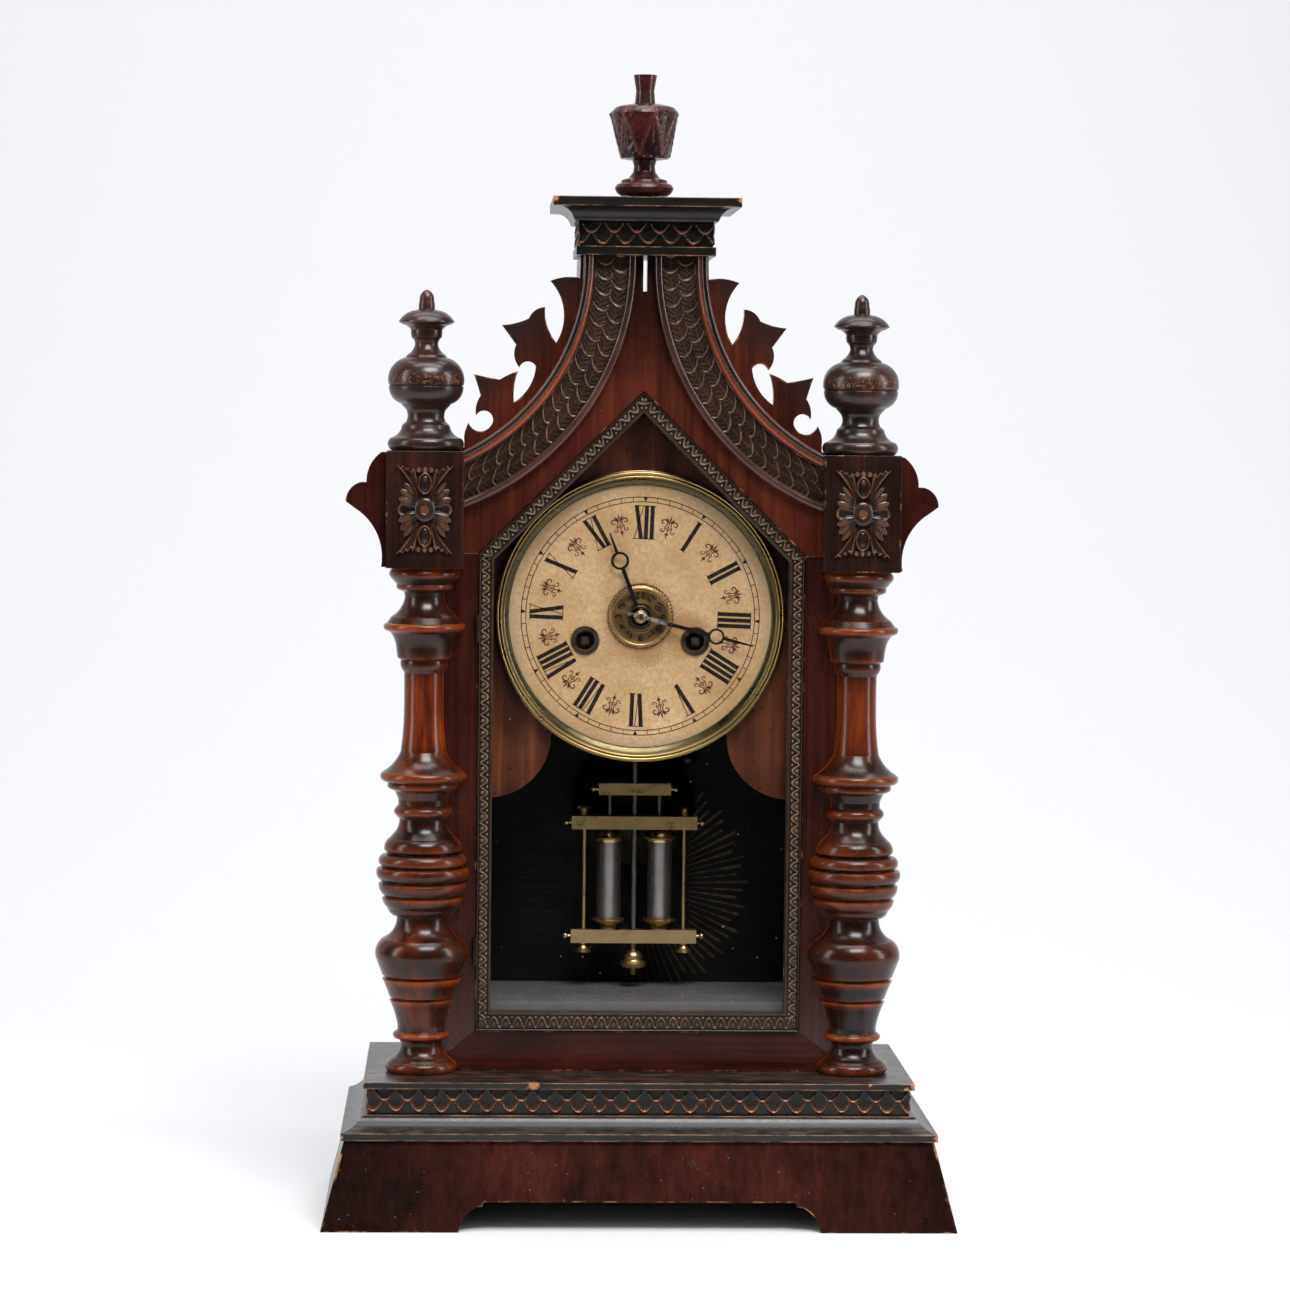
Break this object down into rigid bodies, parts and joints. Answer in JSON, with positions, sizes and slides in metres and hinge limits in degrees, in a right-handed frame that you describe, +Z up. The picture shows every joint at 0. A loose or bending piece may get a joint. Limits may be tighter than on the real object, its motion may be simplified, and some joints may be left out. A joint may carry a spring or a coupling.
{
  "type": "mantel clock",
  "caption": "Neo-Gothic wooden mantel clock with turned corner columns, a pointed glazed door, a paper dial with alarm disc and a twin-jar pendulum.",
  "frame": {"origin": "middle of the plinth's footprint, on the surface it stands on", "axes": "+X to the viewer's right, +Y from the door to the back board, +Z up"},
  "size_m": [0.328, 0.152, 0.5983],
  "materials": {
    "stained_wood": "red-brown stained and shellacked",
    "turned_wood": "dark stained, worn orange on the raised edges, glossy",
    "ebonised_wood": "ebonised, worn to light wood on the arrises",
    "carved_wood": "dark with rubbed brown ridges",
    "softwood": "dark stained softwood, matt",
    "veneer_board": "striped veneer, satin",
    "sash_wood": "dark stained, satin",
    "embossed_trim": "bronzed embossed strip with rubbed tips",
    "door_glass": "clear, dusty",
    "black_card": "black glazed paper with a gilt sunburst",
    "dial_paper": "aged cream paper on zinc, matt",
    "bezel_brass": "aged, dull gold",
    "bronze_collar": "dark bronzed",
    "alarm_bronze": "tarnished stamped brass",
    "blued_steel": "blued steel, scratched bright near the centre",
    "plate_brass": "aged clock brass",
    "arbor_steel": "plain steel",
    "spring_steel": "blued spring steel",
    "pendulum_brass": "worn brass",
    "jar_steel": "polished steel tubes with brass caps",
    "bell_metal": "tarnished bell brass",
    "hinge_brass": "darkened brass"
  },
  "bodies": {
    "case": {"plinth_front": "stained_wood", "plinth_sides": "stained_wood", "frame_stiles": "stained_wood", "bottom_rail": "stained_wood", "gable_boards": "stained_wood", "gable_apex": "stained_wood", "gable_mouldings": "stained_wood", "crockets": "stained_wood", "corner_blocks": "stained_wood", "block_wings": "stained_wood", "case_sides": "stained_wood", "roof_sheets": "stained_wood", "column_left": "turned_wood", "column_right": "turned_wood", "side_finials": "turned_wood", "urn_finial": "turned_wood", "base_moulding": "ebonised_wood", "base_top": "ebonised_wood", "cap_fillet": "ebonised_wood", "cap_plate": "ebonised_wood", "base_frieze": "carved_wood", "cap_frieze": "carved_wood", "gable_scales": "carved_wood", "rosettes": "carved_wood", "plinth_back": "softwood", "back_board": "softwood", "dial_board": "veneer_board", "backdrop_card": "black_card", "dial_plate": "dial_paper", "dial_bezel": "bezel_brass", "winding_grommets": "bronze_collar", "movement_plates": "plate_brass", "movement_posts": "arbor_steel", "mainsprings": "spring_steel", "alarm_bell": "bell_metal", "hinge_case_leaves": "hinge_brass"},
    "door": {"door_frame": "sash_wood", "door_trim": "embossed_trim", "door_glass": "door_glass", "glass_beads": "softwood", "hinge_door_leaves": "hinge_brass"},
    "minute_motion": {"cannon_pinion": "plate_brass", "minute_hand": "blued_steel"},
    "minute_wheel": {"minute_wheel": "plate_brass"},
    "hour_motion": {"hour_pipe": "plate_brass", "hour_hand": "blued_steel"},
    "alarm_disc": {"alarm_disc": "alarm_bronze"},
    "centre_arbor": {"centre_arbor": "plate_brass"},
    "third_wheel": {"third_wheel": "plate_brass"},
    "escape_wheel": {"escape_wheel": "plate_brass"},
    "great_wheel_going": {"great_wheel_going": "plate_brass"},
    "great_wheel_alarm": {"great_wheel_alarm": "plate_brass"},
    "alarm_escape_wheel": {"alarm_escape_wheel": "plate_brass"},
    "winding_arbor_going": {"winding_arbor_going": "arbor_steel"},
    "winding_arbor_alarm": {"winding_arbor_alarm": "arbor_steel"},
    "alarm_hammer": {"alarm_hammer": "arbor_steel"},
    "verge": {"verge": "arbor_steel"},
    "pendulum": {"pendulum_frame": "pendulum_brass", "pendulum_jars": "jar_steel"},
    "rating_nut": {"rating_nut": "pendulum_brass"}
  },
  "joints": [
    {"name": "door_hinge", "type": "hinge", "parent": "case", "child": "door", "pos_m": [-0.0864, -0.018, 0.2], "axis": [0, 0, -1], "range_deg": [0, 90]},
    {"name": "minute_hand_turn", "type": "hinge", "parent": "case", "child": "minute_motion", "pos_m": [0, 0, 0.3134], "axis": [0, 1, 0], "continuous": true},
    {"name": "minute_wheel_turn", "type": "hinge", "parent": "case", "child": "minute_wheel", "pos_m": [-0.00848, 0, 0.30491], "axis": [0, 1, 0], "continuous": true},
    {"name": "hour_hand_turn", "type": "hinge", "parent": "case", "child": "hour_motion", "pos_m": [0, 0, 0.3134], "axis": [0, 1, 0], "continuous": true},
    {"name": "alarm_disc_turn", "type": "hinge", "parent": "hour_motion", "child": "alarm_disc", "pos_m": [0, 0, 0.3134], "axis": [0, 1, 0], "continuous": true},
    {"name": "escape_wheel_turn", "type": "hinge", "parent": "case", "child": "escape_wheel", "pos_m": [0, 0, 0.3314], "axis": [0, 1, 0], "continuous": true},
    {"name": "third_wheel_turn", "type": "hinge", "parent": "case", "child": "third_wheel", "pos_m": [0.01105, 0, 0.32475], "axis": [0, 1, 0], "continuous": true},
    {"name": "centre_arbor_turn", "type": "hinge", "parent": "case", "child": "centre_arbor", "pos_m": [0, 0, 0.3134], "axis": [0, 1, 0], "continuous": true},
    {"name": "great_wheel_going_turn", "type": "hinge", "parent": "case", "child": "great_wheel_going", "pos_m": [-0.0291, 0, 0.3004], "axis": [0, 1, 0], "continuous": true},
    {"name": "great_wheel_alarm_turn", "type": "hinge", "parent": "case", "child": "great_wheel_alarm", "pos_m": [0.0291, 0, 0.3004], "axis": [0, 1, 0], "continuous": true},
    {"name": "alarm_escape_turn", "type": "hinge", "parent": "case", "child": "alarm_escape_wheel", "pos_m": [0.0326, 0, 0.3205], "axis": [0, 1, 0], "continuous": true},
    {"name": "winding_arbor_going_turn", "type": "hinge", "parent": "case", "child": "winding_arbor_going", "pos_m": [-0.0291, 0, 0.3004], "axis": [0, 1, 0], "continuous": true},
    {"name": "winding_arbor_alarm_turn", "type": "hinge", "parent": "case", "child": "winding_arbor_alarm", "pos_m": [0.0291, 0, 0.3004], "axis": [0, 1, 0], "continuous": true},
    {"name": "alarm_hammer_swing", "type": "hinge", "parent": "case", "child": "alarm_hammer", "pos_m": [0.02949, 0.062, 0.3315], "axis": [0, 1, 0], "range_deg": [-8, 1]},
    {"name": "pendulum_swing", "type": "hinge", "parent": "case", "child": "pendulum", "pos_m": [0, 0.046, 0.3444], "axis": [0, 1, 0], "range_deg": [-3.5, 3.5]},
    {"name": "verge_rock", "type": "hinge", "parent": "case", "child": "verge", "pos_m": [0, 0.036, 0.3444], "axis": [0, 1, 0], "range_deg": [-3.5, 3.5]},
    {"name": "rating_nut_turn", "type": "hinge", "parent": "pendulum", "child": "rating_nut", "pos_m": [0, 0.046, 0.1247], "axis": [0, 0, 1], "continuous": true}
  ],
  "couplings": [
    {"joint": "minute_wheel_turn", "follows": "minute_hand_turn", "ratio": -0.33333},
    {"joint": "hour_hand_turn", "follows": "minute_hand_turn", "ratio": 0.083333},
    {"joint": "third_wheel_turn", "follows": "escape_wheel_turn", "ratio": -0.075},
    {"joint": "centre_arbor_turn", "follows": "escape_wheel_turn", "ratio": 0.0075},
    {"joint": "great_wheel_going_turn", "follows": "escape_wheel_turn", "ratio": -0.00125},
    {"joint": "great_wheel_alarm_turn", "follows": "alarm_escape_turn", "ratio": -0.13333},
    {"joint": "verge_rock", "follows": "pendulum_swing", "ratio": 1}
  ]
}
